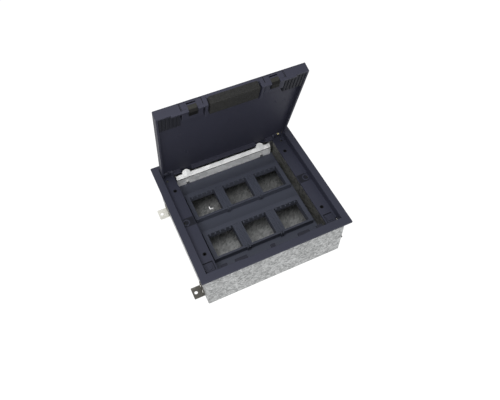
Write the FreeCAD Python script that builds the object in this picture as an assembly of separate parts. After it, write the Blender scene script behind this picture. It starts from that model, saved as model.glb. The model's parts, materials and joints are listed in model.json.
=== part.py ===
import FreeCAD, Part
import math
import os
from FreeCAD import Vector

# Floor socket box, millimetres and degrees. +Z is up, +Y points to the lid's hinge, and the
# origin is the centre of the back box's underside, on the floor that the box stands on.

# Trim frame: the flange that shows in the floor, the collar under it and the two lid ledges
flange_width = 260.0
flange_depth = 240.0
flange_thickness = 2.5
flange_corner = 1.5
rim_side = 12.5
rim_front = 13.7
rim_rear = 8.2
collar_wall = 2.2
collar_height = 24.0
ledge_width = 21.5
ledge_thickness = 3.0
fixing_hole_radius = 2.1
fixing_hole_inset = 12.3
fixing_hole_front = 66.2
fixing_hole_rear = 67.9
pocket_width = 16.0
pocket_length = 17.0
pocket_depth = 2.0
pocket_end = 8.3
slot_width = 2.8
slot_length = 8.0

# Back box and its floor lugs, folded and riveted galvanised sheet
box_height = 91.5
sheet = 1.2
overhang_side = 7.0
overhang_front = 7.5
overhang_rear = 4.5
bend_radius = 2.0
knockout_radius = 12.5
knockout_height = 32.0
knockout_groove = 0.6
lug_reach = 18.0
lug_width = 21.0
lug_thickness = 1.5
lug_leg = 14.0
lug_place = 85.7
lug_hole_radius = 3.0
lug_hole_reach = 12.0
rivet_radius = 1.6
rivet_head_radius = 3.0
rivet_head = 0.8
rivet_spacing = 11.0

# Clamp screws that pull the frame down on the back box
clamp_inset = 6.7
clamp_screw_radius = 2.0
clamp_head_radius = 3.8
clamp_head = 2.6
clamp_boss_radius = 5.2
clamp_boss_height = 9.0
clamp_bracket_drop = 19.0
clamp_bracket_width = 18.0
clamp_recess_half = 8.2

# Lid and its hinge, drawn shut and then swung open about the pins
lid_open = 73.2
lid_thickness = 14.5
lid_gap_side = 1.2
lid_gap_front = 0.5
lid_seat_gap = 0.3
lid_tail = 3.0
lid_tail_radius = 2.0
lid_wall = 3.0
pan_depth = 7.5
inlay_depth = 4.5
inlay_lip = 2.5
lid_band = 48.0
stiffener = 1.5
hinge_depth = 6.9
swing_gap = 0.5
pin_radius = 1.6
pin_clearance = 0.05
ear_radius = 3.8
ear_width = 4.0
knuckle_radius = 3.4
knuckle_width = 5.0
pin_boss_width = 4.5
rear_border = 2.5
comb_width = 33.0
comb_length = 31.0
comb_pitch = 5.5
comb_rib = 1.6

# Cable flap with its foam seal, in the middle of the lid's free edge
flap_width = 80.0
flap_length = 36.0
flap_thickness = 6.0
flap_gap = 0.3
trunnion_radius = 1.5
trunnion_length = 2.0
guide_rib = 3.0
foam_length = 28.0
foam_inset = 1.5

# Sliding catches beside the cable flap
catch_place = 62.5
catch_width = 13.0
catch_length = 14.0
catch_travel = 4.0
catch_top = 7.7
catch_height = 8.8
catch_bevel = 5.0
catch_clearance = 0.2
cover_width = 31.7
cover_top = 1.3
cover_height = 10.5
cover_thickness = 2.5
cover_fit = 0.15
tab_height = 1.8
tab_reach = 1.0
tab_length = 5.0

# Cradle plates, deck and socket frames inside the box
deck_drop = 35.2
deck_thickness = 2.5
deck_side_gap = 0.3
deck_front = 2.3
deck_rear = 3.8
cradle_front = 10.3
cradle_rear = 13.8
cradle_foot = 8.0
cradle_shelf = 16.0
screw_radius = 1.5
screw_head_radius = 2.8
screw_head = 2.0
module = 45.0
module_pitch = 61.4
module_count = 3
frame_height = 10.0
frame_plate = 2.0
frame_border = 7.0
frame_front = 4.3
frame_rear = 8.0
front_row = -70.0
rear_row = 13.0
well_wall = 1.6
well_depth = 14.0
snap_ribs = 5
rail_place = 11.8
rail_half = 92.5
rail_fold = 18.0
rail_top = 11.0
rail_lean = 12.0
rail_ear = 72.0
rail_ear_half = 8.0
rail_ear_height = 7.5
rail_screw = 73.5
rail_screw_height = 5.0
rail_boss_half = 5.0

# Earth terminal on the box floor
stud_radius = 2.5
stud_height = 16.0
stud_x = 108.0
stud_y = -60.0
nut_flats = 8.0
nut_height = 4.0
washer_radius = 5.0
washer_height = 1.0

# Levels and edges worked out from the sizes above
frame_top = box_height + flange_thickness
opening_x = flange_width / 2 - rim_side
opening_front = rim_front - flange_depth / 2
opening_rear = flange_depth / 2 - rim_rear
box_x = flange_width / 2 - overhang_side
box_front = overhang_front - flange_depth / 2
box_rear = flange_depth / 2 - overhang_rear
lid_bottom = frame_top - lid_thickness
ledge_top = lid_bottom - lid_seat_gap
ledge_bottom = ledge_top - ledge_thickness
ledge_x = opening_x - ledge_width
collar_bottom = box_height - collar_height
lid_x = opening_x - lid_gap_side
lid_front = opening_front + lid_gap_front
tail_reach = math.hypot(lid_tail - lid_tail_radius, hinge_depth - lid_tail_radius) + lid_tail_radius
pivot_y = opening_rear - tail_reach - swing_gap
pivot_z = frame_top - hinge_depth
lid_rear = pivot_y + lid_tail
deck_top = ledge_top - deck_drop
deck_bottom = deck_top - deck_thickness
rail_front = opening_rear - rail_place
clamp_x = opening_x - clamp_inset
fixing_x = opening_x - fixing_hole_inset
hinge_notch = pivot_y - ear_radius - 0.8
PIVOT = Vector(0, pivot_y, pivot_z)
EAST = Vector(1, 0, 0)


def block(x0, x1, y0, y1, z0, z1):
    """Rectangular block between two X, two Y and two Z places."""
    return Part.makeBox(x1 - x0, y1 - y0, z1 - z0, Vector(x0, y0, z0))


def rounded(x0, x1, y0, y1, z0, z1, radius):
    """Block with its four upright edges rounded."""
    solid = block(x0, x1, y0, y1, z0, z1)
    upright = [e for e in solid.Edges if abs(e.BoundBox.ZLength - (z1 - z0)) < 1e-6]
    return solid.makeFillet(radius, upright)


def rod(radius, start, end):
    """Round bar from one point to another."""
    along = end - start
    return Part.makeCylinder(radius, along.Length, start, along)


def upright(radius, x, y, z0, z1):
    """Upright round bar."""
    return rod(radius, Vector(x, y, z0), Vector(x, y, z1))


def profile_x(points, x0, x1):
    """Outline given as (y, z) points, drawn along X."""
    wire = Part.makePolygon([Vector(x0, y, z) for y, z in points + points[:1]])
    return Part.Face(wire).extrude(Vector(x1 - x0, 0, 0))


def profile_z(points, z0, z1):
    """Outline given as (x, y) points, drawn along Z."""
    wire = Part.makePolygon([Vector(x, y, z0) for x, y in points + points[:1]])
    return Part.Face(wire).extrude(Vector(0, 0, z1 - z0))


def mirrored(solid):
    """The same piece on the other side of the box."""
    return solid.mirror(Vector(0, 0, 0), EAST)


def both(solid):
    """A right-hand piece and its left-hand twin as one group."""
    return Part.makeCompound([solid, mirrored(solid)])


def joined(solids):
    """One solid from several that meet."""
    return solids[0].multiFuse(solids[1:]).removeSplitter()


def swung(solid):
    """A lid piece turned from shut to where the lid stands open."""
    return solid.rotate(PIVOT, EAST, -lid_open)


def screw_up(radius, head_radius, head, x, y, z_head, z_tip):
    """Screw driven upwards, its head's bearing face at z_head."""
    return joined([upright(radius, x, y, z_head, z_tip),
                   upright(head_radius, x, y, z_head - head, z_head)])


# ---------------------------------------------------------------- galvanised back box
def back_box():
    """Folded sheet box with conduit knock-outs, rivet holes and a floor slot."""
    inside = sheet
    shell = rounded(-box_x, box_x, box_front, box_rear, 0, box_height, bend_radius).cut(
        rounded(-box_x + inside, box_x - inside, box_front + inside, box_rear - inside,
                sheet, box_height + 1, bend_radius - inside / 2))
    cuts = []
    for side in (-1, 1):
        wall = side * box_x
        for y in (-knockout_radius * 3.4, knockout_radius * 3.4):
            cuts.append(ring_groove(Vector(wall, y, knockout_height), Vector(-side, 0, 0)))
        cuts.append(ring_groove(Vector(side * knockout_radius * 4, box_rear, knockout_height),
                                Vector(0, -1, 0)))
        for lug_y in (-lug_place, lug_place):
            for y in (lug_y - rivet_spacing / 2, lug_y + rivet_spacing / 2):
                cuts.append(rod(rivet_radius, Vector(wall - side * 2 * sheet, y, lug_leg * 0.6),
                                Vector(wall + side * sheet, y, lug_leg * 0.6)))
    slot_x, slot_y, arm = -51.0, 58.0, 7.0
    cuts.append(block(slot_x, slot_x + arm, slot_y, slot_y + 1.6, -1, sheet + 1))
    cuts.append(block(slot_x, slot_x + 1.6, slot_y, slot_y + arm, -1, sheet + 1))
    cuts.append(upright(stud_radius, stud_x, stud_y, -1, sheet + 1))
    return shell.cut(cuts)


def ring_groove(centre, inward):
    """Round score line of a knock-out, half-way through the sheet."""
    outer = Part.makeCylinder(knockout_radius, sheet / 2, centre, inward)
    inner = Part.makeCylinder(knockout_radius - knockout_groove, sheet / 2, centre, inward)
    return outer.cut(inner)


def floor_lugs():
    """Four angle lugs riveted low on the side walls, with a hole for a floor screw each."""
    lugs = []
    for side in (-1, 1):
        for y in (-lug_place, lug_place):
            near, far = sorted((side * box_x, side * (box_x + lug_reach)))
            leg0, leg1 = sorted((side * box_x, side * (box_x + lug_thickness)))
            tab = rounded(near, far, y - lug_width / 2, y + lug_width / 2, 0, lug_thickness, 1.2)
            leg = block(leg0, leg1, y - lug_width / 2, y + lug_width / 2, 0, lug_leg)
            lug = joined([tab, leg])
            lug = lug.cut(upright(lug_hole_radius, side * (box_x + lug_hole_reach), y, -1, lug_thickness + 1))
            for rivet_y in (y - rivet_spacing / 2, y + rivet_spacing / 2):
                lug = lug.cut(rod(rivet_radius, Vector(side * (box_x - 1), rivet_y, lug_leg * 0.6),
                                  Vector(side * (box_x + lug_thickness + 1), rivet_y, lug_leg * 0.6)))
            lugs.append(lug)
    return Part.makeCompound(lugs)


def lug_rivets():
    """Two rivets a lug, with a head inside and outside."""
    rivets = []
    for side in (-1, 1):
        inner = box_x - sheet
        outer = box_x + lug_thickness
        for lug_y in (-lug_place, lug_place):
            for y in (lug_y - rivet_spacing / 2, lug_y + rivet_spacing / 2):
                def at(x):
                    return Vector(side * x, y, lug_leg * 0.6)
                rivets.append(joined([rod(rivet_radius, at(inner), at(outer)),
                                      rod(rivet_head_radius, at(outer), at(outer + rivet_head)),
                                      rod(rivet_head_radius, at(inner - rivet_head), at(inner))]))
    return Part.makeCompound(rivets)


def clamp_brackets():
    """Angle brackets on the side walls with a drawn thread for the clamp screws."""
    inner_wall = box_x - sheet
    top = ledge_bottom - clamp_bracket_drop
    half = clamp_bracket_width / 2
    bracket = joined([
        block(inner_wall - sheet, inner_wall, -half, half, top - 30, top),
        block(clamp_x - 5.5, inner_wall, -half, half, top - sheet, top),
        upright(clamp_screw_radius + 1.4, clamp_x, 0, top - 5, top)])
    return both(bracket.cut(upright(clamp_screw_radius, clamp_x, 0, top - 10, top + 1)))


def clamp_screws():
    """Pan-head screws with a cross recess, sunk in the ledge bosses."""
    seat = ledge_top - clamp_head - 0.6
    tip = ledge_bottom - clamp_bracket_drop - 8
    screw = joined([upright(clamp_screw_radius, clamp_x, 0, tip, seat),
                    upright(clamp_head_radius, clamp_x, 0, seat, seat + clamp_head)])
    head_top = seat + clamp_head
    arm = clamp_head_radius * 0.55
    for long_x, long_y in ((arm, 0.5), (0.5, arm)):
        screw = screw.cut(block(clamp_x - long_x, clamp_x + long_x, -long_y, long_y, head_top - 1.2, head_top + 1))
    return both(screw)


def earth_stud():
    """Stud welded in the floor of the box."""
    return upright(stud_radius, stud_x, stud_y, 0, stud_height)


def earth_washers():
    """One washer on the floor and one on the first nut."""
    washers = []
    for base in (sheet, sheet + washer_height + nut_height):
        ring = upright(washer_radius, stud_x, stud_y, base, base + washer_height)
        washers.append(ring.cut(upright(stud_radius, stud_x, stud_y, base - 1, base + washer_height + 1)))
    return Part.makeCompound(washers)


def earth_nuts():
    """Two hexagon nuts that grip the earth lead between them."""
    corner = nut_flats / math.sqrt(3)
    nuts = []
    for base in (sheet + washer_height, sheet + 2 * washer_height + nut_height):
        points = [(stud_x + corner * math.cos(math.radians(60 * k)),
                   stud_y + corner * math.sin(math.radians(60 * k))) for k in range(6)]
        nut = profile_z(points, base, base + nut_height)
        nuts.append(nut.cut(upright(stud_radius, stud_x, stud_y, base - 1, base + nut_height + 1)))
    return Part.makeCompound(nuts)


# ---------------------------------------------------------------- plastic trim frame
def trim_frame():
    """Flange, collar, two lid ledges, clamp bosses, hinge ears and catch keepers."""
    flange = rounded(-flange_width / 2, flange_width / 2, -flange_depth / 2, flange_depth / 2,
                     box_height, frame_top, flange_corner)
    top_edges = [e for e in flange.Edges if e.BoundBox.ZMin > frame_top - 1e-6]
    flange = flange.makeChamfer(0.5, top_edges)
    collar = block(-opening_x - collar_wall, opening_x + collar_wall, opening_front - collar_wall,
                   opening_rear + collar_wall, collar_bottom, box_height)
    ring = joined([flange, collar]).cut(
        block(-opening_x, opening_x, opening_front, opening_rear, collar_bottom - 1, frame_top + 1))
    right = ledge_right()
    frame = joined([ring, right, mirrored(right)])
    cuts = [front_relief()]
    for side in (-1, 1):
        keeper_x = side * catch_place
        half = catch_width / 2 + 1
        cuts.append(block(keeper_x - half, keeper_x + half, opening_front - collar_wall - 1, opening_front + 1,
                          frame_top - catch_top - catch_height - 1.2, frame_top - catch_top + 1))
    return frame.cut(cuts)


def front_relief():
    """Shallow dip in the front rim where the cables leave, with sloped ends and a centre notch."""
    deep = opening_front - 1.3
    dip = [(-68, opening_front), (-51, deep), (-6, deep), (-6, deep - 0.8), (-3, deep - 0.8), (-3, deep),
           (39, deep), (62, opening_front), (62, opening_front + 1), (-68, opening_front + 1)]
    return profile_z(dip, frame_top - 3.5, frame_top + 1)


def ledge_right():
    """Right-hand lid ledge with its fixing holes, corner pocket, clamp boss and hinge supports."""
    ledge = block(ledge_x, opening_x, opening_front, opening_rear, ledge_bottom, ledge_top)
    under = block(clamp_x - 9, opening_x, -clamp_recess_half - 1.5, clamp_recess_half + 1.5,
                  ledge_bottom - 2, ledge_bottom)
    boss = upright(clamp_boss_radius, clamp_x, 0, ledge_top - clamp_boss_height, ledge_top)
    recess = block(ledge_x + 2, opening_x, -clamp_recess_half, clamp_recess_half,
                   ledge_top - pocket_depth, ledge_top + 1)
    solid = joined([ledge, under]).cut(recess)
    solid = joined([solid, boss] + hinge_supports())
    seat = ledge_top - clamp_head - 0.6
    pocket_front = opening_front + pocket_end
    cuts = [upright(clamp_head_radius + 0.2, clamp_x, 0, seat, ledge_top + 1),
            upright(clamp_screw_radius + 0.2, clamp_x, 0, ledge_bottom - 20, seat + 1),
            block(opening_x, opening_x + 20, -30, 30, 0, frame_top),
            block(opening_x - 3 - pocket_width, opening_x - 3, pocket_front, pocket_front + pocket_length,
                  ledge_top - pocket_depth, ledge_top + 1),
            block(opening_x - slot_width, opening_x, pocket_front - slot_length / 2,
                  pocket_front + slot_length / 2, ledge_bottom - 1, ledge_top + 1),
            block(opening_x - 9, opening_x - 5, hinge_notch - 9, hinge_notch - 4, ledge_bottom - 1, ledge_top + 1)]
    for y in (-fixing_hole_front, fixing_hole_rear):
        cuts.append(upright(fixing_hole_radius, fixing_x, y, ledge_bottom - 1, ledge_top + 1))
    for y in cradle_screw_places():
        cuts.append(upright(screw_radius, fixing_x, y, ledge_bottom - 1, ledge_bottom + 2))
    return solid.cut(cuts)


def hinge_supports():
    """Inner ear and outer boss that carry a hinge pin above the ledge."""
    supports = []
    for x0, x1 in ((ledge_x, ledge_x + ear_width), (opening_x - pin_boss_width, opening_x)):
        post = block(x0, x1, pivot_y - ear_radius, pivot_y + ear_radius, ledge_bottom, pivot_z)
        crown = rod(ear_radius, Vector(x0, pivot_y, pivot_z), Vector(x1, pivot_y, pivot_z))
        hole = rod(pin_radius, Vector(x0 - 1, pivot_y, pivot_z), Vector(x1 + 1, pivot_y, pivot_z))
        supports.append(joined([post, crown]).cut(hole))
    return supports


def hinge_pin():
    """Brass pin from the inner ear to the collar."""
    return rod(pin_radius, Vector(ledge_x, pivot_y, pivot_z), Vector(opening_x, pivot_y, pivot_z))


# ---------------------------------------------------------------- cradle, deck and rail
def cradle_screw_places():
    """Places along Y of the screws that hold a cradle plate to its ledge."""
    return (-fixing_hole_front + 26, fixing_hole_rear - 26)


def deck_screw_places():
    """Places along Y of the screws that hold the deck to a cradle foot."""
    return (opening_front + cradle_front + 12, opening_rear - cradle_rear - 12)


def cradle_plate():
    """Right-hand galvanised plate: shelf under the ledge, web beside the deck, foot under it."""
    front = opening_front + cradle_front
    rear = opening_rear - cradle_rear
    foot_top = deck_bottom
    shape = [(ledge_x - cradle_foot, foot_top - sheet), (ledge_x + sheet, foot_top - sheet),
             (ledge_x + sheet, ledge_bottom - sheet), (ledge_x + cradle_shelf, ledge_bottom - sheet),
             (ledge_x + cradle_shelf, ledge_bottom), (ledge_x, ledge_bottom),
             (ledge_x, foot_top), (ledge_x - cradle_foot, foot_top)]
    wire = Part.makePolygon([Vector(x, front, z) for x, z in shape + shape[:1]])
    plate = Part.Face(wire).extrude(Vector(0, rear - front, 0))
    cuts = [block(clamp_x - 9.5, clamp_x + 20, -clamp_recess_half - 2, clamp_recess_half + 2,
                  ledge_bottom - 5, ledge_bottom + 1)]
    for y in (-fixing_hole_front, fixing_hole_rear):
        cuts.append(upright(fixing_hole_radius, fixing_x, y, ledge_bottom - 5, ledge_bottom + 1))
    for y in cradle_screw_places():
        cuts.append(upright(screw_radius, fixing_x, y, ledge_bottom - 5, ledge_bottom + 1))
    for y in deck_screw_places():
        cuts.append(upright(screw_radius, ledge_x - cradle_foot / 2, y, foot_top - 5, foot_top + 1))
    return plate.cut(cuts)


def cradle_screws():
    """Four screws up through the cradle shelves into the ledges."""
    return Part.makeCompound([
        screw_up(screw_radius, screw_head_radius, screw_head, side * fixing_x, y,
                 ledge_bottom - sheet, ledge_bottom + 2)
        for side in (-1, 1) for y in cradle_screw_places()])


def deck_screws():
    """Four screws up through the cradle feet into the deck."""
    return Part.makeCompound([
        screw_up(screw_radius, screw_head_radius, screw_head, side * (ledge_x - cradle_foot / 2), y,
                 deck_bottom - sheet, deck_bottom + 2)
        for side in (-1, 1) for y in deck_screw_places()])


def module_centres():
    """Centres along X of the module openings in one row."""
    return [module_pitch * (k - (module_count - 1) / 2) for k in range(module_count)]


def well_reach():
    """Half the width of a row of wells, with their walls."""
    return module_pitch * (module_count - 1) / 2 + module / 2 + well_wall


def deck():
    """Plastic deck with one window a row, stiffening ribs and two bosses for the rear rail."""
    side = ledge_x - deck_side_gap
    front = opening_front + deck_front
    rear = opening_rear - deck_rear
    plate = rounded(-side, side, front, rear, deck_bottom, deck_top, 3)
    parts = [plate]
    for y in (front + 14, (front_row + rear_row) / 2 + 28.5, rail_front - 12):
        parts.append(block(-well_reach(), well_reach(), y, y + 2, deck_bottom - 5, deck_bottom))
    for x in (-rail_screw, rail_screw):
        parts.append(block(x - rail_boss_half, x + rail_boss_half, rail_front + sheet, rear,
                           deck_top, deck_top + rail_screw_height + 3))
    solid = joined(parts)
    cuts = []
    for row in (front_row, rear_row):
        well_front = row + frame_front - well_wall
        cuts.append(block(-well_reach() - 0.4, well_reach() + 0.4, well_front - 0.4,
                          well_front + module + 2 * well_wall + 0.4, deck_bottom - 1, deck_top + 1))
    for x in (-rail_screw, rail_screw):
        cuts.append(rod(screw_radius, Vector(x, rail_front, deck_top + rail_screw_height),
                        Vector(x, rear - 1.5, deck_top + rail_screw_height)))
    for side_x in (-1, 1):
        for y in deck_screw_places():
            cuts.append(upright(screw_radius, side_x * (ledge_x - cradle_foot / 2), y,
                                deck_bottom - 1, deck_bottom + 2))
    return solid.cut(cuts)


def socket_frame(row):
    """Three-gang frame: raised plate, skirt, wells with snap ribs, notched front lip, ridges."""
    half = module_pitch * (module_count - 1) / 2 + module / 2 + frame_border
    top = deck_top + frame_height
    rear = row + frame_front + module + frame_rear
    body = rounded(-half, half, row, rear, deck_top, top, 1.5)
    hollow = block(-half + frame_plate, half - frame_plate, row + frame_plate, rear - frame_plate,
                   deck_top - 1, top - frame_plate)
    body = body.cut(hollow)
    parts = [body]
    opening0 = row + frame_front
    opening1 = opening0 + module
    for x in module_centres():
        parts.append(block(x - module / 2 - well_wall, x + module / 2 + well_wall, opening0 - well_wall,
                           opening1 + well_wall, top - well_depth, top - frame_plate / 2))
    lip = block(-half + 3, half - 3, row, row + 1.6, top - 1, top + 1)
    parts.append(lip)
    solid = joined(parts)
    holes = [block(x - module / 2, x + module / 2, opening0, opening1, top - well_depth - 1, top + 2)
             for x in module_centres()]
    dividers = [(a + b) / 2 for a, b in zip(module_centres(), module_centres()[1:])]
    notches = [block(x - 1.2, x + 1.2, row - 1, row + 2.2, top - 3, top + 2) for x in dividers]
    solid = solid.cut(holes + notches)
    extras = []
    for x in dividers:
        for offset in (-4.5, 0.0, 4.5):
            extras.append(block(x + offset - 0.6, x + offset + 0.6, row + 3, opening1 + 1, top - 0.5, top + 0.7))
    rib_pitch = (module - 9) / (snap_ribs - 1)
    for x in module_centres():
        for k in range(snap_ribs):
            rib_x = x - (module - 9) / 2 + k * rib_pitch
            extras.append(profile_x([(opening1 + 0.5, top - 2.5), (opening1 + 0.5, top - 7),
                                     (opening1 - 0.8, top - 6)], rib_x - 0.8, rib_x + 0.8))
        hook_top = deck_bottom - 0.2
        for face, out in ((opening0 - well_wall, -1), (opening1 + well_wall, 1)):
            extras.append(profile_x([(face - out * 0.5, hook_top), (face + out * 1.6, hook_top),
                                     (face - out * 0.5, top - well_depth)], x - 4, x + 4))
    return joined([solid] + extras)


def rear_rail():
    """Galvanised strip across the back: upright foot, leaning top, two round ears, screw notches."""
    fold_z = deck_top + rail_fold
    lean = math.radians(rail_lean)
    rise = rail_top * math.cos(lean)
    back = rail_top * math.sin(lean)
    ear_rise = rail_ear_height * math.cos(lean)
    ear_back = rail_ear_height * math.sin(lean)
    slant = sheet / math.cos(lean)

    def leaning(x0, x1, start, end):
        y0, z0 = rail_front + back * start, fold_z + rise * start
        y1, z1 = rail_front + back * end, fold_z + rise * end
        return profile_x([(y0, z0), (y1, z1), (y1 + slant, z1), (y0 + slant, z0)], x0, x1)

    foot = block(-rail_half, rail_half, rail_front, rail_front + sheet, deck_top, fold_z + 0.15)
    parts = [foot, leaning(-rail_half, rail_half, 0, 1)]
    share = (rail_top + rail_ear_height) / rail_top
    for x in (-rail_ear, rail_ear):
        ear = leaning(x - rail_ear_half, x + rail_ear_half, 0.9, share)
        keep = rod(rail_ear_half, Vector(x, rail_front - 20, fold_z + rise + ear_rise - rail_ear_half),
                   Vector(x, rail_front + ear_back + 30, fold_z + rise + ear_rise - rail_ear_half))
        below = block(x - rail_ear_half, x + rail_ear_half, rail_front - 20, rail_front + 30,
                      fold_z, fold_z + rise + ear_rise - rail_ear_half)
        parts.append(ear.common(joined([keep, below])))
    solid = joined(parts)
    cuts = []
    for x in (-rail_screw, rail_screw):
        centre_z = deck_top + rail_screw_height
        cuts.append(rod(screw_radius + 0.6, Vector(x, rail_front - 5, centre_z), Vector(x, rail_front + 5, centre_z)))
        cuts.append(block(x - screw_radius - 0.6, x + screw_radius + 0.6, rail_front - 5, rail_front + 5,
                          deck_top - 1, centre_z))
    return solid.cut(cuts)


def rail_screws():
    """Two screws that clamp the rear rail to the deck bosses."""
    z = deck_top + rail_screw_height
    tip = opening_rear - deck_rear - 1.5
    return Part.makeCompound([
        joined([rod(screw_radius, Vector(x, rail_front, z), Vector(x, tip, z)),
                rod(screw_head_radius, Vector(x, rail_front - screw_head, z), Vector(x, rail_front, z))])
        for x in (-rail_screw, rail_screw)])


# ---------------------------------------------------------------- lid, drawn shut
def catch_channel():
    """Places of one catch: centre, half width, top, bottom and the cover plate's half width."""
    top = frame_top - catch_top
    return catch_place, catch_width / 2, top, top - catch_height, cover_width / 2


def lid_tray():
    """Moulded lid: inlay recess above, walled pan below, comb recesses, catch and flap openings."""
    tray = block(-lid_x, lid_x, lid_front, lid_rear, lid_bottom, frame_top)
    tail = [e for e in tray.Edges if e.BoundBox.YMin > lid_rear - 1e-6 and e.BoundBox.ZMin > frame_top - 1e-6]
    tray = tray.makeFillet(lid_tail_radius, tail)
    corners = [e for e in tray.Edges
               if e.BoundBox.YMax < lid_front + 1e-6 and abs(e.BoundBox.ZLength - lid_thickness) < 1e-6]
    tray = tray.makeFillet(1.2, corners)
    pan_z = lid_bottom + pan_depth
    pan = block(-lid_x + lid_wall, lid_x - lid_wall, lid_front + lid_wall, lid_rear - lid_wall,
                lid_bottom - 1, pan_z)
    recess = block(-lid_x + inlay_lip, lid_x - inlay_lip, lid_front + lid_band, hinge_notch - rear_border,
                   frame_top - inlay_depth, frame_top + 1)
    cuts = [pan, recess]
    flap_half = flap_width / 2 + flap_gap
    comb_out = lid_x - lid_wall
    comb_in = comb_out - comb_width
    comb_top = frame_top - 3.0
    for side in (-1, 1):
        x0, x1 = sorted((side * comb_in, side * comb_out))
        cuts.append(block(x0, x1, lid_front + lid_wall, lid_front + lid_wall + comb_length, lid_bottom, comb_top))
        x0, x1 = sorted((side * (ledge_x - 0.5), side * (lid_x + 1)))
        cuts.append(block(x0, x1, hinge_notch, lid_rear + 1, lid_bottom - 1, frame_top + 1))
        ear_x = side * rail_ear
        half = rail_ear_half + 2
        cuts.append(block(ear_x - half, ear_x + half, lid_rear - lid_wall - 1, lid_rear + 1, lid_bottom - 1, pan_z))
    tray = tray.cut(cuts)

    ribs = []
    for side in (-1, 1):
        x0, x1 = sorted((side * flap_half, side * (flap_half + guide_rib)))
        ribs.append(block(x0, x1, lid_front, lid_front + flap_length + flap_gap, lid_bottom, pan_z + 0.5))
        count = int(comb_width // comb_pitch)
        for k in range(count):
            centre = side * (comb_in + comb_pitch * (k + 0.5))
            ribs.append(block(centre - comb_rib / 2, centre + comb_rib / 2, lid_front + lid_wall - 0.5,
                              lid_front + lid_wall + comb_length, lid_bottom + 1.2, comb_top + 0.5))
        ribs += knuckle_parts(side)
    for x, s in EJECTOR_MARKS:
        ribs.append(upright(2.2, x, lid_front + s, pan_z - 0.4, pan_z + 0.5))
    tray = joined([tray] + ribs)

    pivot = flap_pivot()
    openings = [block(-flap_half, flap_half, lid_front - 1, lid_front + flap_length + flap_gap,
                      lid_bottom - 1, frame_top + 1)]
    for side in (-1, 1):
        openings.append(rod(trunnion_radius + pin_clearance, Vector(side * (flap_half - 1), pivot.y, pivot.z),
                            Vector(side * (flap_half + trunnion_length), pivot.y, pivot.z)))
        openings.append(rod(pin_radius + pin_clearance, Vector(side * (ledge_x - 1), pivot_y, pivot_z),
                            Vector(side * (opening_x + 1), pivot_y, pivot_z)))
        openings += catch_openings(side)
    stops = []
    for side in (-1, 1):
        x0, x1 = sorted((side * (flap_half - 1.4), side * (flap_half + 0.5)))
        stops.append(block(x0, x1, lid_front + 3, lid_front + 8, frame_top - flap_thickness - 2,
                           frame_top - flap_thickness - 0.2))
    return joined([tray.cut(openings)] + stops)


def knuckle_parts(side):
    """Lid knuckle beside the frame's ear, with its arm from the lid."""
    x0, x1 = sorted((side * (ledge_x + ear_width + 0.4), side * (ledge_x + ear_width + 0.4 + knuckle_width)))
    eye = rod(knuckle_radius, Vector(x0, pivot_y, pivot_z), Vector(x1, pivot_y, pivot_z))
    arm = block(x0, x1, hinge_notch - 1, pivot_y, pivot_z - knuckle_radius, pivot_z + knuckle_radius)
    return [joined([eye, arm])]


def catch_openings(side):
    """Seat for the catch cover, way for the catch and the release slot's hollow."""
    place, half, top, bottom, cover_half = catch_channel()
    x = side * place
    cover_low = frame_top - cover_top - cover_height - cover_fit
    cover_high = frame_top - cover_top + cover_fit
    pan_z = lid_bottom + pan_depth
    return [block(x - cover_half - cover_fit, x + cover_half + cover_fit, lid_front - 1,
                  lid_front + cover_thickness, cover_low, cover_high),
            block(x - cover_half - cover_fit, x + cover_half + cover_fit, lid_front - 1,
                  lid_front + lid_wall + 1, cover_low, pan_z),
            block(x - half - catch_clearance, x + half + catch_clearance, lid_front - 1,
                  lid_front + lid_wall + 1, lid_bottom - 1, cover_low + 1),
            block(x - 7, x + 7, lid_front + cover_thickness - 1, lid_front + 9, frame_top - 5.6, frame_top - 3.4)]


def catch_cover():
    """Right-hand insert: face plate with release slot, and the channel that guides the catch."""
    place, half, top, bottom, cover_half = catch_channel()
    pan_z = lid_bottom + pan_depth
    face_top = frame_top - cover_top
    plate = block(place - cover_half, place + cover_half, lid_front, lid_front + cover_thickness,
                  face_top - cover_height, face_top)
    back = lid_front + catch_length + catch_travel + 0.3 + 2
    channel = block(place - half - 3, place + half + 3, lid_front + lid_wall + cover_fit, back,
                    lid_bottom + 0.2, pan_z - catch_clearance)
    neck = block(place - half - 3, place + half + 3, lid_front + cover_thickness, lid_front + lid_wall + 1,
                 face_top - cover_height, pan_z - catch_clearance)
    way = block(place - half - catch_clearance, place + half + catch_clearance, lid_front - 1, back - 2,
                lid_bottom - 5, top + catch_clearance)
    tab_z = top - catch_height / 2
    groove = block(place - half - tab_reach - catch_clearance, place + half + tab_reach + catch_clearance,
                   lid_front + catch_length - 1 - tab_length - catch_travel - catch_clearance,
                   lid_front + catch_length - 1 + catch_clearance,
                   tab_z - tab_height / 2 - catch_clearance, tab_z + tab_height / 2 + catch_clearance)
    slot = block(place - 7, place + 7, lid_front - 1, lid_front + cover_thickness + 1,
                 frame_top - 5.6, frame_top - 3.4)
    return joined([plate, neck, channel]).cut([way, groove, slot])


def catch():
    """Right-hand sliding catch, bevelled below its nose, with two guide tabs."""
    place, half, top, bottom, cover_half = catch_channel()
    back = lid_front + catch_length
    bolt = profile_x([(lid_front, top), (lid_front, bottom + catch_bevel), (lid_front + catch_bevel, bottom),
                      (back, bottom), (back, top)], place - half, place + half)
    tab_z = top - catch_height / 2
    tabs = block(place - half - tab_reach, place + half + tab_reach, back - 1 - tab_length, back - 1,
                 tab_z - tab_height / 2, tab_z + tab_height / 2)
    return joined([bolt, tabs])


def lid_stiffener():
    """Galvanised plate lying in the inlay recess, under the floor covering."""
    gap = 0.2
    low = frame_top - inlay_depth
    return rounded(-lid_x + inlay_lip + gap, lid_x - inlay_lip - gap, lid_front + lid_band + gap,
                   hinge_notch - rear_border - gap, low, low + stiffener, 2)


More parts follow.
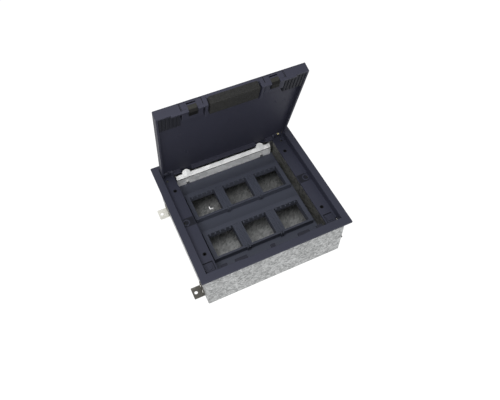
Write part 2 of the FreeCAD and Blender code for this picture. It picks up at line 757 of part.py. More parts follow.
def flap_pivot():
    """Point on the cable flap's hinge axis."""
    return Vector(0, lid_front + flap_length - flap_thickness / 2, frame_top - flap_thickness / 2)


def cable_flap():
    """Flap plate with a rounded hinge edge and two moulded trunnions."""
    pivot = flap_pivot()
    half = flap_width / 2
    plate = block(-half, half, lid_front, pivot.y, frame_top - flap_thickness, frame_top)
    edge = rod(flap_thickness / 2, Vector(-half, pivot.y, pivot.z), Vector(half, pivot.y, pivot.z))
    tip = half + flap_gap + trunnion_length - 0.3
    trunnions = rod(trunnion_radius, Vector(-tip, pivot.y, pivot.z), Vector(tip, pivot.y, pivot.z))
    return joined([plate, edge, trunnions])


def foam_seal():
    """Foam block bonded under the flap, which closes round the cables."""
    half = flap_width / 2 - foam_inset
    return block(-half, half, lid_front + 0.3, lid_front + foam_length, lid_bottom, frame_top - flap_thickness)


EJECTOR_MARKS = ((7.5, 96), (81.5, 153.5), (-84, 88), (-68, 153), (6, 200), (96, 83))

PIECES = {
    "back_box": back_box(),
    "floor_lugs": floor_lugs(),
    "lug_rivets": lug_rivets(),
    "clamp_brackets": clamp_brackets(),
    "clamp_screws": clamp_screws(),
    "earth_stud": earth_stud(),
    "earth_washers": earth_washers(),
    "earth_nuts": earth_nuts(),
    "trim_frame": trim_frame(),
    "hinge_pin_right": hinge_pin(),
    "hinge_pin_left": mirrored(hinge_pin()),
    "cradle_right": cradle_plate(),
    "cradle_left": mirrored(cradle_plate()),
    "cradle_screws": cradle_screws(),
    "deck": deck(),
    "deck_screws": deck_screws(),
    "socket_frame_front": socket_frame(front_row),
    "socket_frame_rear": socket_frame(rear_row),
    "rear_rail": rear_rail(),
    "rail_screws": rail_screws(),
    "lid_tray": swung(lid_tray()),
    "lid_stiffener": swung(lid_stiffener()),
    "catch_cover_right": swung(catch_cover()),
    "catch_cover_left": swung(mirrored(catch_cover())),
    "catch_right": swung(catch()),
    "catch_left": swung(mirrored(catch())),
    "cable_flap": swung(cable_flap()),
    "foam_seal": swung(foam_seal()),
}

os.makedirs("parts", exist_ok=True)
for name, piece in PIECES.items():
    piece.exportStep("parts/" + name + ".step")
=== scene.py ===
"""Floor socket box with its lid standing open: the finish of every piece, the foam seal,
the floor it stands on, the light and the camera."""

import json
import math

import bmesh
import bpy
from mathutils import Matrix, Quaternion, Vector, noise


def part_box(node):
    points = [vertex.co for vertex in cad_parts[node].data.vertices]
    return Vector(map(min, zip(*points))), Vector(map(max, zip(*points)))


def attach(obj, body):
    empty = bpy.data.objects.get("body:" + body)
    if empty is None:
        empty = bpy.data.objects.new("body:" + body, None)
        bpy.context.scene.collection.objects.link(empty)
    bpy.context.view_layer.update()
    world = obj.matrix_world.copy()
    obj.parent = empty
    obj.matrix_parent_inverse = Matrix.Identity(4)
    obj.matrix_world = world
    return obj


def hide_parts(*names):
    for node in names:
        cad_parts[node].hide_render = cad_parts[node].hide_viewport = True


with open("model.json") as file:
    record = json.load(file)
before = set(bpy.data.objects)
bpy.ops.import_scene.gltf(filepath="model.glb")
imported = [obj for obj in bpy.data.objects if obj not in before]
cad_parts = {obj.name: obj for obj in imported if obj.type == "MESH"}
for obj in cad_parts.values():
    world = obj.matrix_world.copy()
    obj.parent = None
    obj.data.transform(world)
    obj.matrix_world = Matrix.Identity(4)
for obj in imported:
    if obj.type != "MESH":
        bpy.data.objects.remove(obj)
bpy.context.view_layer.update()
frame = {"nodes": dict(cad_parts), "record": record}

bpy.context.scene.view_settings.view_transform = "Standard"


# ---------------------------------------------------------------- back box
# The back box is folded from 1.2 mm hot-dip galvanised sheet. The zinc froze in flat
# crystals a few millimetres across, which gives the sheet its mottled grey spangle.

class Wire:
    """A socket of a material; sums and products of wires add the Math nodes they need."""

    def __init__(self, finish, socket):
        self.finish = finish
        self.socket = socket

    def math(self, operation, *values):
        return self.finish.node("Math", {"operation": operation}, dict(enumerate(values)))

    def __add__(self, other):
        return self.math("ADD", self, other)

    def __radd__(self, other):
        return self.math("ADD", other, self)

    def __sub__(self, other):
        return self.math("SUBTRACT", self, other)

    def __rsub__(self, other):
        return self.math("SUBTRACT", other, self)

    def __mul__(self, other):
        return self.math("MULTIPLY", self, other)

    def __rmul__(self, other):
        return self.math("MULTIPLY", other, self)

    def clipped(self):
        """The value held between 0 and 1."""
        return self.math("MINIMUM", self.math("MAXIMUM", self, 0.0), 1.0)


class Finish:
    """A new material, or the studio's world, built from nodes that one method adds."""

    def __init__(self, name, world=None):
        self.owner = world or bpy.data.materials.new(name)
        self.owner.use_nodes = True
        self.tree = self.owner.node_tree
        self.tree.nodes.clear()

    def node(self, kind, settings=None, values=None, out=0):
        """Adds a node: its settings first, then the values or wires of its sockets."""
        node = self.tree.nodes.new("ShaderNode" + kind)
        for name, value in (settings or {}).items():
            setattr(node, name, value)
        inputs = [socket for socket in node.inputs if socket.enabled]
        outputs = [socket for socket in node.outputs if socket.enabled]
        for name, value in (values or {}).items():
            socket = inputs[name] if isinstance(name, int) else next(s for s in inputs if s.name == name)
            if isinstance(value, Wire):
                self.tree.links.new(value.socket, socket)
            else:
                socket.default_value = value
        if not outputs:
            return node
        chosen = outputs[out] if isinstance(out, int) else next(s for s in outputs if s.name == out)
        return Wire(self, chosen)

    def place(self):
        """Position on the piece, in metres."""
        return self.node("TexCoord", out="Object")

    def mottle(self, vector, scale, detail=2.0, roughness=0.5):
        """Noise value at a scale given in spots per metre."""
        return self.node("TexNoise", {}, {"Vector": vector, "Scale": scale, "Detail": detail,
                                          "Roughness": roughness}, "Fac")

    def blend(self, share, low, high):
        """Colour between two colours."""
        return self.node("Mix", {"data_type": "RGBA"}, {"Factor": share, "A": low, "B": high})

    def shift(self, operation, *vectors):
        """Vector Math node."""
        return self.node("VectorMath", {"operation": operation}, dict(enumerate(vectors)))

    def worn_edge(self, radius):
        """1 on sharp outer edges and 0 on flats."""
        sharpness = 12.0
        bent = self.node("Bevel", {"samples": 6}, {"Radius": radius})
        flat = self.node("NewGeometry", out="Normal")
        along = self.node("VectorMath", {"operation": "DOT_PRODUCT"}, {0: bent, 1: flat}, "Value")
        return ((1.0 - along) * sharpness).clipped()

    def bumped(self, height, distance, strength=1.0, edge_radius=0.0):
        """Surface relief, on edges softened by a radius."""
        values = {"Height": height, "Distance": distance, "Strength": strength}
        if edge_radius:
            values["Normal"] = self.node("Bevel", {"samples": 6}, {"Radius": edge_radius})
        return self.node("Bump", {}, values)

    def surface(self, **values):
        """Ends the material with a Principled surface."""
        sockets = {name.replace("_", " "): value for name, value in values.items()}
        shader = self.node("BsdfPrincipled", {}, sockets)
        self.node("OutputMaterial", {}, {"Surface": shader})
        return self.owner


def dress(material, *names):
    """Gives CAD pieces their material."""
    for name in names:
        for slot in frame["nodes"][name].material_slots:
            slot.material = material


def galvanised(name, dark, light, flake=0.006, gloss=0.42, metal=0.85):
    """Zinc spangle: angular crystals of uneven tone with fine feathering, darker on the floor sheet."""
    sheet_top = 0.0016
    finish = Finish(name)
    place = finish.place()
    drift = finish.node("TexNoise", {}, {"Vector": place, "Scale": 160.0, "Detail": 2.0}, "Color")
    bent = finish.shift("MULTIPLY_ADD", drift, (0.004, 0.004, 0.004), place)
    leaning = finish.node("Mapping", {"vector_type": "TEXTURE"},
                          {"Vector": bent, "Rotation": (0.5, 0.35, 0.9), "Scale": (1.0, 0.45, 0.45)})
    crystal = finish.node("TexVoronoi", {"feature": "F1"},
                          {"Vector": leaning, "Scale": 0.5 / flake}, "Color")
    tone = finish.node("SeparateColor", {}, {"Color": crystal}, "Red")
    tilt = finish.node("SeparateColor", {}, {"Color": crystal}, "Green")
    feather = finish.mottle(leaning, 900.0, 3.0, 0.6)
    cloud = finish.mottle(place, 28.0, 2.0)
    share = (0.6 * tone + 1.1 * feather + 0.3 * cloud - 0.55).clipped()
    edge = finish.worn_edge(0.0006)
    base = finish.blend(share, dark, light)
    base = finish.blend(edge * 0.35, base, (0.8, 0.8, 0.8, 1.0))
    height = finish.node("SeparateXYZ", {}, {"Vector": place}, "Z")
    # The floor sheet, below 1.6 mm, is darkened by about a third.
    sheet_floor_darkening = ((sheet_top - height) * 4000.0).clipped() * 0.35
    base = finish.blend(sheet_floor_darkening, base, dark)
    rough = gloss + 0.16 * tilt + 0.12 * feather
    relief = finish.bumped(tilt * 0.6 + feather * 0.4, 0.00012, 0.7, 0.0004)
    return finish.surface(Base_Color=base, Metallic=metal, Roughness=rough, Normal=relief)


box_zinc = galvanised("box_zinc", (0.16, 0.165, 0.165, 1.0), (0.66, 0.67, 0.67, 1.0), 0.0030)
dress(box_zinc, "back_box")


# ---------------------------------------------------------------- floor lugs and rivets
# Four pressed angle lugs, riveted low on the side walls, take a floor screw each. They are
# zinc-plated steel, a little warmer and smoother than the spangled sheet.

def plated(name, colour, gloss=0.35):
    """Thin electroplated zinc over steel, with faint handling marks."""
    finish = Finish(name)
    place = finish.place()
    cloud = finish.mottle(place, 60.0, 3.0)
    speck = finish.mottle(place, 1400.0, 2.0)
    edge = finish.worn_edge(0.0004)
    dark_tone = tuple(0.72 * value for value in colour[:3]) + (1.0,)
    base = finish.blend((1.3 * cloud - 0.15).clipped(), dark_tone, colour)
    base = finish.blend(edge * 0.4, base, (0.85, 0.84, 0.81, 1.0))
    rough = gloss + 0.2 * cloud
    relief = finish.bumped(speck * 0.6 + cloud * 0.4, 0.00004, 0.6, 0.0003)
    return finish.surface(Base_Color=base, Metallic=1.0, Roughness=rough, Normal=relief)


def lug_plate(name, dark_tone, bright):
    """Zinc plate with a painted reflection that turns it olive grey towards the front and pale at the
    rear, and painted shade on the upright legs.
    """
    foot_top = 0.0022
    finish = Finish(name)
    place = finish.place()
    along = finish.node("SeparateXYZ", {}, {"Vector": place}, "Y")
    cloud = finish.mottle(place, 90.0, 3.0)
    speck = finish.mottle(place, 1200.0, 2.0)
    # Painted reflection: the tone runs from dark olive at the front to pale at the rear.
    painted_reflection_share = (0.5 + 6.0 * along + 0.3 * (cloud - 0.5)).clipped()
    base = finish.blend(painted_reflection_share, dark_tone, bright)
    height = finish.node("SeparateXYZ", {}, {"Vector": place}, "Z")
    # Painted shade: the upright legs take the dark olive tone.
    painted_leg_shade = ((height - foot_top) * 1200.0).clipped()
    base = finish.blend(painted_leg_shade * 0.75, base, dark_tone)
    relief = finish.bumped(speck, 0.00004, 0.6, 0.0003)
    return finish.surface(Base_Color=base, Metallic=0.5, Roughness=0.42 + 0.12 * cloud, Normal=relief)


lug_zinc = lug_plate("lug_zinc", (0.085, 0.080, 0.070, 1.0), (0.78, 0.77, 0.71, 1.0))
rivet_steel = plated("rivet_steel", (0.62, 0.61, 0.58, 1.0), 0.3)
dress(lug_zinc, "floor_lugs")
dress(rivet_steel, "lug_rivets")


# ---------------------------------------------------------------- clamp brackets and screws
# An angle bracket on each side wall has a drawn thread. A pan-head screw reaches it through
# the trim frame's boss and pulls the frame down on the box.

screw_steel = plated("screw_steel", (0.50, 0.50, 0.49, 1.0), 0.32)
dress(box_zinc, "clamp_brackets")
black_steel = plated("black_steel", (0.030, 0.030, 0.031, 1.0), 0.45)
dress(black_steel, "clamp_screws")


# ---------------------------------------------------------------- earth terminal
# A stud welded to the floor of the box, with two hexagon nuts and two washers that grip the
# protective conductor. All of it is plated steel.

dress(screw_steel, "earth_stud", "earth_washers", "earth_nuts")


# ---------------------------------------------------------------- trim frame
# The trim frame is one moulding in blue-grey nylon: a thin flange on the floor, a collar in
# the cut-out, and a ledge on each side that the lid rests on. Its faces are spark-eroded.

def moulded(name, colour, gloss=0.5, grain=1.0, sheen=0.25, shaded_below=None):
    """Moulded plastic: fine eroded texture, slight flow shading, paler rubbed edges, and painted shade
    below an optional height.
    """
    finish = Finish(name)
    place = finish.place()
    flow = finish.mottle(place, 14.0, 3.0)
    dust = finish.mottle(place, 240.0, 3.0, 0.6)
    texture = finish.mottle(place, 2600.0, 2.0, 0.55)
    edge = finish.worn_edge(0.0005)
    deep = tuple(0.86 * value for value in colour[:3]) + (1.0,)
    pale = tuple(1.10 * value + 0.001 for value in colour[:3]) + (1.0,)
    rubbed = tuple(1.45 * value + 0.008 for value in colour[:3]) + (1.0,)
    base = finish.blend((0.8 * flow + 0.35 * dust - 0.08).clipped(), deep, pale)
    base = finish.blend(edge * 0.6, base, rubbed)
    # Painted shade: below the given height the colour turns near black.
    if shaded_below is not None:
        height = finish.node("SeparateXYZ", {}, {"Vector": place}, "Z")
        shade = ((shaded_below - height) * 2000.0).clipped()
        base = finish.blend(shade, base, (0.004, 0.004, 0.004, 1.0))
    rough = gloss + 0.10 * dust - 0.06 * edge
    relief = finish.bumped(texture, 0.00004 * grain, 0.5, 0.0005)
    return finish.surface(Base_Color=base, Roughness=rough, Normal=relief, Specular_IOR_Level=sheen)


blue_grey = (0.030, 0.032, 0.050, 1.0)
frame_nylon = moulded("frame_nylon", blue_grey)
dress(frame_nylon, "trim_frame")

flange_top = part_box("trim_frame")[1][2]
screw_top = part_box("clamp_screws")[1][2]
screw_sunk = 0.0006
ledge_top = screw_top + screw_sunk


def fitted(name, boxes, material, body, soften=0.0003, turn=None):
    """Moulded detail made of blocks, given in millimetres from the flange top, with soft edges."""
    mesh = bmesh.new()
    for x0, x1, y0, y1, z0, z1 in boxes:
        middle = Vector((x0 + x1, y0 + y1, z0 + z1)) / 2000.0
        size = Matrix.Diagonal((abs(x1 - x0) / 1000.0, abs(y1 - y0) / 1000.0, abs(z1 - z0) / 1000.0, 1.0))
        bmesh.ops.create_cube(mesh, size=1.0, matrix=Matrix.Translation(middle) @ size)
    bmesh.ops.bevel(mesh, geom=mesh.edges[:], offset=soften, segments=2, profile=0.5, affect="EDGES")
    mesh.transform(Matrix.Translation((0.0, 0.0, flange_top)))
    if turn:
        mesh.transform(turn)
    return finished(name, mesh, material, body)


def turned(name, rings, material, body, x, y):
    """Round detail about an upright axis, from (radius, height) points in millimetres."""
    mesh = bmesh.new()
    wall = [mesh.verts.new((r / 1000.0, 0.0, z / 1000.0)) for r, z in rings]
    edges = [mesh.edges.new((a, b)) for a, b in zip(wall, wall[1:])]
    bmesh.ops.spin(mesh, geom=wall + edges, cent=(0, 0, 0), axis=(0, 0, 1), angle=2 * math.pi,
                   steps=32, use_duplicate=False)
    bmesh.ops.remove_doubles(mesh, verts=mesh.verts, dist=1e-6)
    mesh.transform(Matrix.Translation((x / 1000.0, y / 1000.0, flange_top)))
    bmesh.ops.recalc_face_normals(mesh, faces=mesh.faces)
    return finished(name, mesh, material, body)


def finished(name, mesh, material, body):
    """Turns a mesh into a piece with its material, that rides on a body."""
    data = bpy.data.meshes.new(name)
    mesh.to_mesh(data)
    mesh.free()
    piece = bpy.data.objects.new(name, data)
    bpy.context.scene.collection.objects.link(piece)
    data.materials.append(material)
    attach(piece, body)
    return piece


def twins(boxes):
    """The same blocks on both sides of the middle."""
    return [(side * x0, side * x1, *rest) for side in (1, -1) for x0, x1, *rest in boxes]


# Painted shade: a near-black copy of the frame's nylon, laid as thin strips along the corner pockets'
# edges and as a plate over each clamp recess.
painted_shade_nylon = moulded("painted_shade_nylon", (0.013, 0.014, 0.020, 1.0), 0.6, 1.0, 0.15)
shade_nylon = moulded("shade_nylon", (0.018, 0.019, 0.030, 1.0), 0.55)
ledge_z = (ledge_top - flange_top) * 1000.0
front_wall = -106.3
shelf_reach = (front_wall - 0.5, front_wall + 13.4)
shelf_height = (-19.5, -16.9)
shelves = twins([(x0, x1, *shelf_reach, *shelf_height) for x0, x1 in ((45, 66), (79, 90))])
shelves.append((-4, 4, *shelf_reach, *shelf_height))
fitted("front_shelves", shelves, shade_nylon, "housing", 0.0008)
pocket_in, pocket_out = 98.6, 114.4
pocket_edges = [(pocket_in, 99.4, -98.0, -81.0), (pocket_in, pocket_out, -81.9, -81.1),
                (pocket_in, pocket_out, -97.9, -97.3)]
fitted("pocket_shade", twins([(*spans, ledge_z - 2.1, ledge_z - 0.1) for spans in pocket_edges]),
       painted_shade_nylon, "housing", 0.0001)
fitted("pocket_pad", twins([(102.0, 110.0, -94.5, -85.5, ledge_z - 2.3, ledge_z - 1.0)]),
       frame_nylon, "housing", 0.0002)
# A thin dark plate on each ledge is painted shade for the clamp recess.
fitted("clamp_painted_shade", twins([(96.6, 112.4, -8.5, 8.5, ledge_z - 0.3, ledge_z + 0.06)]),
       painted_shade_nylon, "housing", 0.0001)
fitted("slot_strip", [(115.0, 116.4, -100.6, -95.6, ledge_z - 7.0, ledge_z - 0.2)],
       screw_steel, "housing", 0.0001)
# Painted shade: a near-black nylon for the cups and rings that darken the fixing holes, the strip along
# the rail's fold and the seams round the catch covers.
painted_shade_black = moulded("painted_shade_black", (0.006, 0.006, 0.007, 1.0), 0.6, 0.4, 0.1)
boss_place = 110.8
hole_place, hole_rows = 105.2, (-66.2, 67.9)
for side in (-1, 1):
    turned("clamp_boss_%s" % ("left" if side < 0 else "right"),
           [(6.4, ledge_z - 2.2), (6.4, ledge_z + 0.05), (6.2, ledge_z + 0.15), (4.5, ledge_z + 0.15),
            (4.3, ledge_z + 0.05), (4.3, ledge_z - 1.0)],
           frame_nylon, "housing", side * boss_place, 0.0)
    # Each fixing hole gets a black cup below it and a black ring on the ledge round it, painted shade for
    # the hole.
    for y in hole_rows:
        turned("hole_shade_sleeve_%d_%d" % (side, y > 0),
               [(2.08, ledge_z - 11.0), (2.08, ledge_z), (3.2, ledge_z + 0.02), (3.2, ledge_z + 0.14),
                (2.0, ledge_z + 0.14), (1.9, ledge_z), (1.9, ledge_z - 10.6), (0.0, ledge_z - 10.6)],
               painted_shade_black, "housing", side * hole_place, y)


# ---------------------------------------------------------------- hinge pins
# Two short turned brass pins carry the lid between the frame's ears and the collar. The
# lid's moulded barrels go round them, and a small moulded cap closes each inner end.

pin_brass = plated("pin_brass", (1.0, 0.90, 0.50, 1.0), 0.38)
dress(pin_brass, "hinge_pin_right", "hinge_pin_left")

hinge = next(joint for joint in frame["record"]["behaviour"]["joints"] if joint["name"] == "lid_hinge")
pivot = Vector(hinge["pos_m"])


def barrel(name, radius, start, end, body):
    """Plain moulded barrel along the hinge line, given in millimetres across."""
    mesh = bmesh.new()
    middle = Vector(((start + end) / 2000.0, pivot.y, pivot.z))
    place = Matrix.Translation(middle) @ Matrix.Rotation(math.pi / 2, 4, "Y")
    bmesh.ops.create_cone(mesh, cap_ends=True, segments=40, radius1=radius / 1000.0,
                          radius2=radius / 1000.0, depth=(end - start) / 1000.0, matrix=place)
    rims = [rim for rim in mesh.edges if max(len(face.verts) for face in rim.link_faces) > 4]
    bmesh.ops.bevel(mesh, geom=rims, offset=0.0003, segments=2, profile=0.5, affect="EDGES")
    return finished(name, mesh, frame_nylon, body)


barrel_radius, cap_radius = 3.3, 2.1
barrel("hinge_barrel_left", barrel_radius, -112.7, -105.6, "lid")
barrel("hinge_barrel_right", barrel_radius, 110.2, 112.7, "lid")
barrel("pin_cap_left", cap_radius, -96.2, -95.6, "housing")
barrel("pin_cap_right", cap_radius, 95.6, 96.2, "housing")


# ---------------------------------------------------------------- cradle plates
# A folded galvanised plate under each ledge carries the deck. It is screwed up into the
# ledge and down to the deck by small plated screws.

cradle_zinc = galvanised("cradle_zinc", (0.07, 0.07, 0.062, 1.0), (0.30, 0.30, 0.275, 1.0), 0.004)
dress(cradle_zinc, "cradle_right", "cradle_left")
dress(screw_steel, "cradle_screws", "deck_screws")


# ---------------------------------------------------------------- deck and socket frames
# The deck is a plastic plate across the box. Two three-gang frames snap into its windows,
# with ribs inside each opening that hold a 45 mm accessory.

deck_nylon = moulded("deck_nylon", (0.050, 0.055, 0.075, 1.0), 0.46)
dress(deck_nylon, "deck", "socket_frame_front", "socket_frame_rear")

opening_middles = (-61.4, 0.0, 61.4)
divider_middles = (-30.7, 30.7)
rib_steps = (-18.0, -9.0, 0.0, 9.0, 18.0)

for row in ("front", "rear"):
    row_low, row_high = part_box("socket_frame_" + row)
    row_top = (row_high[2] - flange_top) * 1000.0 - 1.0
    row_y = row_low[1] * 1000.0
    ridges = [(x - 0.7, x + 0.7, row_y + 3.0, row_y + 50.0, row_top - 0.6, row_top + 1.3)
              for divider in divider_middles for x in (divider - 4.5, divider, divider + 4.5)]
    fitted("divider_ridges_" + row, ridges, deck_nylon, "housing", 0.0003)
    snaps = [(x - 1.3, x + 1.3, row_y + 46.3, row_y + 49.6, row_top - 6.0, row_top - 1.4)
             for middle in opening_middles for x in [middle + step for step in rib_steps]]
    tails = [(x - 0.7, x + 0.7, row_y - 2.6, row_y + 3.4, row_top - 8.8, row_top + 1.3)
             for divider in divider_middles for x in (divider - 2.0, divider + 2.0)]
    fitted("divider_tails_" + row, tails, deck_nylon, "housing", 0.0002)
    fitted("snap_ribs_" + row, snaps, deck_nylon, "housing", 0.0003)


# ---------------------------------------------------------------- rear rail
# A bright galvanised strip stands along the back of the deck, with two screws in its
# notches. Its spangle is coarser and whiter than that of the box, and its sizes are in mm.

rail_low, rail_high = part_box("rear_rail")
rail_half = rail_high[0] * 1000.0
rail_face = rail_low[1] * 1000.0
rail_foot = (rail_low[2] - flange_top) * 1000.0
sheet = 1.2
fold = 18.0
top_width = 8.3
ear_place, ear_radius = 72.0, 8.0
ear_centre = top_width + 7.0 - ear_radius
notch_place, notch_radius, notch_height = 73.5, 2.1, 5.0
lean = math.radians(34.0)
rail_zinc = galvanised("rail_zinc", (0.60, 0.61, 0.61, 1.0), (1.0, 1.0, 1.0, 1.0), 0.009, 0.34, 0.38)
dress(screw_steel, "rail_screws")


def cut_plate(mesh, outline, place):
    """Sheet of the rail's thickness from its outline, set in place."""
    front = [mesh.verts.new((x / 1000.0, 0.0, z / 1000.0)) for x, z in outline]
    face = mesh.faces.new(front)
    back = bmesh.ops.extrude_face_region(mesh, geom=[face])["geom"]
    moved = [part for part in back if isinstance(part, bmesh.types.BMVert)]
    bmesh.ops.translate(mesh, verts=moved, vec=(0.0, sheet / 1000.0, 0.0))
    bmesh.ops.transform(mesh, matrix=place, verts=front + moved)


def arc(x, z, radius, start, end):
    """Points on an arc between two angles in degrees."""
    steps = 14
    turns = [math.radians(start + (end - start) * k / steps) for k in range(steps + 1)]
    return [(x + radius * math.cos(turn), z + radius * math.sin(turn)) for turn in turns]


def rail_mesh():
    """Upright foot with two screw notches, and the leaning top with its round ears."""
    mesh = bmesh.new()
    foot = [(-rail_half, 0.0)]
    for x in (-notch_place, notch_place):
        foot.append((x - notch_radius, 0.0))
        foot += arc(x, notch_height, notch_radius, 180, 0)
        foot.append((x + notch_radius, 0.0))
    foot += [(rail_half, 0.0), (rail_half, fold), (-rail_half, fold)]
    foot_place = Matrix.Translation((0.0, rail_face / 1000.0, flange_top + rail_foot / 1000.0))
    cut_plate(mesh, foot, foot_place)
    shoulder = math.degrees(math.asin((top_width - ear_centre) / ear_radius))
    top = [(-rail_half, 0.0), (rail_half, 0.0), (rail_half, top_width)]
    for x in (ear_place, -ear_place):
        top += arc(x, ear_centre, ear_radius, shoulder, 180 - shoulder)
    top += [(-rail_half, top_width)]
    cut_plate(mesh, top, foot_place @ Matrix.Translation((0.0, 0.0, fold / 1000.0))
              @ Matrix.Rotation(-lean, 4, "X"))
    bmesh.ops.recalc_face_normals(mesh, faces=mesh.faces)
    return mesh


rail = finished("rear_rail_sheet", rail_mesh(), rail_zinc, "housing")
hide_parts("rear_rail")
fold_height = rail_foot + fold
# A thin black strip along the fold is painted shade for the crease.
fitted("rail_fold_shade", [(-rail_half, rail_half, rail_face - 0.25, rail_face + 0.3,
                      fold_height - 0.9, fold_height + 0.2)],
       painted_shade_black, "housing", 0.0)


# ---------------------------------------------------------------- lid
# The lid is a walled tray in the same nylon as the frame, smoother inside than out. A
# pressed galvanised plate in its outer recess stiffens it under the floor covering.

lid_nylon = moulded("lid_nylon", (0.028, 0.029, 0.046, 1.0), 0.52)
plate_zinc = galvanised("plate_zinc", (0.30, 0.31, 0.31, 1.0), (0.62, 0.63, 0.63, 1.0), 0.008)
dress(lid_nylon, "lid_tray", "catch_cover_right", "catch_cover_left")
dress(plate_zinc, "lid_stiffener")

opened = (Matrix.Translation(pivot) @ Matrix.Rotation(math.radians(hinge["range_deg"][0]), 4, "X")
          @ Matrix.Translation(-pivot))
free_edge = -105.8
pan_under = -7.0
wall_foot = pan_under + 0.2
fitted("flap_guides", twins([(40.8, 45.0, free_edge + 0.05, free_edge + 31.8, -16.6, wall_foot)]),
       lid_nylon, "lid", 0.0004, opened)
fitted("edge_skirt", twins([(x0, x1, free_edge + 0.02, free_edge + 3.0, -16.8, -14.0)
                            for x0, x1 in ((45.0, 55.6), (69.4, 95.0))]),
       lid_nylon, "lid", 0.0003, opened)
housing_walls = [(47.2, 53.2, 2.8), (71.8, 78.8, 2.8), (53.0, 72.0, 20.4)]
fitted("catch_housing", twins([(x0, x1, free_edge + start, free_edge + 25.8, -14.4, wall_foot)
                               for x0, x1, start in housing_walls]),
       lid_nylon, "lid", 0.0004, opened)
mark_places = [(0.0, -19.0), (0.0, 90.0), (80.0, -28.0), (-80.0, -28.0), (74.0, 36.0), (-74.0, 36.0)]
mark_half = 1.3
fitted("ejector_marks", [(x - mark_half, x + mark_half, y - mark_half, y + mark_half,
                          pan_under - 0.5, wall_foot) for x, y in mark_places],
       lid_nylon, "lid", 0.0004, opened)
# Painted shade: the finger combs take a darker copy of the lid's nylon, for the shade in their recess.
comb_shade_nylon = moulded("comb_shade_nylon", (0.015, 0.016, 0.022, 1.0), 0.55, 1.0, 0.15)
comb_end = free_edge + 39.6
comb_ribs, first_rib, rib_pitch, rib_half = 6, 83.05, 5.5, 2.1
rib_places = [first_rib + rib_pitch * k for k in range(comb_ribs)]
comb = [(80.4, 113.2, free_edge + 3.0, comb_end, -12.2, -6.7)]
comb += [(x - rib_half, x + rib_half, free_edge + 2.8, comb_end, -13.4, wall_foot) for x in rib_places]
fitted("finger_combs", twins(comb), comb_shade_nylon, "lid", 0.0004, opened)

# Thin black strips at both ends of each cover and along part of its lower edge are painted shade in its
# seams.
seam_face = free_edge - 0.03
fitted("cover_seam_shade", twins([(79.0, 79.95, seam_face, free_edge + 2.0, -13.4, -1.2),
                             (71.5, 79.2, seam_face, free_edge + 1.0, -12.2, -11.8),
                             (47.0, 47.5, seam_face, free_edge + 2.0, -11.0, -1.2)]),
       painted_shade_black, "lid", 0.0001, opened)


# ---------------------------------------------------------------- catches
# Two sliding catches in black acetal, slicker than the nylon that they run in. A moulded
# cover in the lid's nylon is let into the end face over each of them.

catch_low, catch_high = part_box("catch_right")
# Painted shade: each catch is coloured near black below four fifths of its height, where its lower faces
# fall into shade.
shade_share = 0.80
catch_shade_line = catch_low[2] + shade_share * (catch_high[2] - catch_low[2])
catch_black = moulded("catch_black", (0.027, 0.027, 0.024, 1.0), 0.5, 0.4, 0.15, catch_shade_line)
dress(catch_black, "catch_right", "catch_left")


def seated_cover(node):
    """Catch cover, a little smaller than its seat, so that its seam shows."""
    shrink, face_depth, face_drop = 0.972, 2.0, 0.00035
    low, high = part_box(node)
    middle = (low[0] + high[0]) / 2.0
    mesh = bmesh.new()
    mesh.from_mesh(frame["nodes"][node].data)
    mesh.transform(opened.inverted())
    for vertex in mesh.verts:
        depth = (flange_top - vertex.co.z) * 1000.0
        vertex.co.x = middle + (vertex.co.x - middle) * shrink
        if depth < face_depth:
            vertex.co.z -= face_drop
    mesh.transform(opened)
    cover = finished(node + "_insert", mesh, lid_nylon, "lid")
    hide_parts(node)


seated_cover("catch_cover_right")
seated_cover("catch_cover_left")


# ---------------------------------------------------------------- cable flap and foam seal
# The flap in the lid's free edge swings out for the cables. The block of black open-cell
# foam glued in it closes round them.

dress(lid_nylon, "cable_flap")

foam_half = 38.4
foam_round = 0.0016


def foam_block():
    """Foam block cut a little uneven, with soft edges, glued under the flap."""
    mesh = bmesh.new()
    low = Vector((-foam_half, free_edge - 0.3, -16.8)) / 1000.0
    high = Vector((foam_half, free_edge + 28.5, -3.4)) / 1000.0
    size = Matrix.Diagonal((high - low).to_4d())
    size[3][3] = 1.0
    bmesh.ops.create_cube(mesh, size=1.0, matrix=Matrix.Translation((low + high) / 2.0) @ size)
    bmesh.ops.bevel(mesh, geom=mesh.edges[:], offset=foam_round, segments=4, profile=0.5,
                    affect="EDGES")
    bmesh.ops.triangulate(mesh, faces=mesh.faces[:])
    long_edges = [edge for edge in mesh.edges if edge.calc_length() > 0.004]
    bmesh.ops.subdivide_edges(mesh, edges=long_edges, cuts=3, use_grid_fill=True)
    mesh.normal_update()
    for vertex in mesh.verts:
        wave = noise.noise(vertex.co * 90.0) * 0.00016 + noise.noise(vertex.co * 420.0) * 0.00008
        vertex.co += vertex.normal * (wave - 0.0001)
    mesh.transform(Matrix.Translation((0.0, 0.0, flange_top)))
    mesh.transform(opened)
    data = bpy.data.meshes.new("foam_block")
    mesh.to_mesh(data)
    mesh.free()
    data.polygons.foreach_set("use_smooth", [True] * len(data.polygons))
    block = bpy.data.objects.new("foam_block", data)
    bpy.context.scene.collection.objects.link(block)
    return block


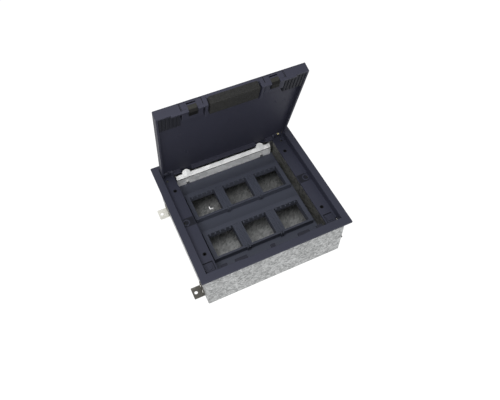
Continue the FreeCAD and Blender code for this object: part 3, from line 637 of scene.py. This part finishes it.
def open_cell(name, colour):
    """Black polyether foam: small dark pores between matt struts."""
    finish = Finish(name)
    place = finish.place()
    pores = finish.node("TexVoronoi", {"feature": "F1"}, {"Vector": place, "Scale": 900.0}, "Distance")
    crumbs = finish.mottle(place, 500.0, 4.0, 0.7)
    cloud = finish.mottle(place, 40.0, 2.0)
    pit = tuple(0.35 * value for value in colour[:3]) + (1.0,)
    base = finish.blend((1.5 * pores + 0.5 * crumbs - 0.25).clipped(), colour, pit)
    base = finish.blend((cloud - 0.3).clipped() * 0.4, base, (0.030, 0.030, 0.030, 1.0))
    relief = finish.bumped(1.0 - pores + 0.5 * crumbs, 0.0003, 0.5)
    return finish.surface(Base_Color=base, Roughness=0.95, Normal=relief, Specular_IOR_Level=0.15)


foam = foam_block()
foam.data.materials.append(open_cell("open_cell_foam", (0.046, 0.046, 0.045, 1.0)))
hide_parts("foam_seal")
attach(foam, "flap")


# ---------------------------------------------------------------- studio floor and light
# The box stands on a plain white floor in a white studio, under two large soft lamps: one
# high on its left and one in front. The floor keeps the box's own soft shadow.

floor_half, floor_level = 4.0, -0.0004
floor_corners = [(side_x * floor_half, side_y * floor_half, floor_level)
                 for side_x, side_y in ((-1, -1), (1, -1), (1, 1), (-1, 1))]
floor_data = bpy.data.meshes.new("studio_floor")
floor_data.from_pydata(floor_corners, [], [(0, 1, 2, 3)])
floor = bpy.data.objects.new("studio_floor", floor_data)
bpy.context.scene.collection.objects.link(floor)

paper = Finish("studio_paper")
path = paper.node("LightPath", out="Is Camera Ray")
mirror = paper.node("LightPath", out="Is Glossy Ray")
through = paper.node("LightPath", out="Is Transmission Ray")
seen = (path + mirror + through).clipped()
matt = paper.node("BsdfDiffuse", {}, {"Color": (0.9, 0.9, 0.9, 1.0)})
glow = paper.node("Emission", {}, {"Color": (1.0, 1.0, 1.0, 1.0), "Strength": 1.10})
shown = paper.node("MixShader", {}, {0: seen * 0.93, 1: matt, 2: glow})
paper.node("OutputMaterial", {}, {"Surface": shown})
floor_data.materials.append(paper.owner)

bpy.context.scene.world = bpy.data.worlds.new("studio")
sky = Finish("studio", bpy.context.scene.world)
camera_ray = sky.node("LightPath", out="Is Camera Ray")
glossy_ray = sky.node("LightPath", out="Is Glossy Ray")
direct = (camera_ray + glossy_ray).clipped()
ambient = 0.30
background = sky.node("Background", {}, {"Strength": ambient + (1.0 - ambient) * direct})
sky.node("OutputWorld", {}, {"Surface": background})


def soft_lamp(name, place, size, energy):
    """Round area lamp pointed at the middle of the box."""
    aim = Vector((0.0, 0.0, 0.06))
    data = bpy.data.lights.new(name, "AREA")
    data.shape = "DISK"
    data.size = size
    data.energy = energy
    lamp = bpy.data.objects.new(name, data)
    lamp.location = place
    lamp.rotation_euler = (Vector(place) - aim).to_track_quat("Z", "Y").to_euler()
    bpy.context.scene.collection.objects.link(lamp)


soft_lamp("top_lamp", (-0.34, -0.26, 1.15), 0.7, 9.8)
soft_lamp("front_lamp", (-0.25, -1.1, 0.6), 0.8, 5.5)


# ---------------------------------------------------------------- camera
# The camera looks down at the open box from its front left, rolled by about half a degree.
# It is aimed at the height of the flange, near the middle of the box.

bearing = math.radians(-24.57)
elevation = math.radians(55.5)
roll = math.radians(-0.45)
distance = 0.8186
target = Vector((-0.0015, -0.0122, 0.094))
toward = Vector((math.sin(bearing) * math.cos(elevation), -math.cos(bearing) * math.cos(elevation),
                 math.sin(elevation)))
camera_data = bpy.data.cameras.new("camera")
camera_data.lens = 35.75
camera_data.sensor_width = 36.0
camera = bpy.data.objects.new("camera", camera_data)
camera.location = target + distance * toward
camera.rotation_euler = (toward.to_track_quat("Z", "Y") @ Quaternion((0.0, 0.0, 1.0), roll)).to_euler()
bpy.context.scene.collection.objects.link(camera)
bpy.context.scene.camera = camera
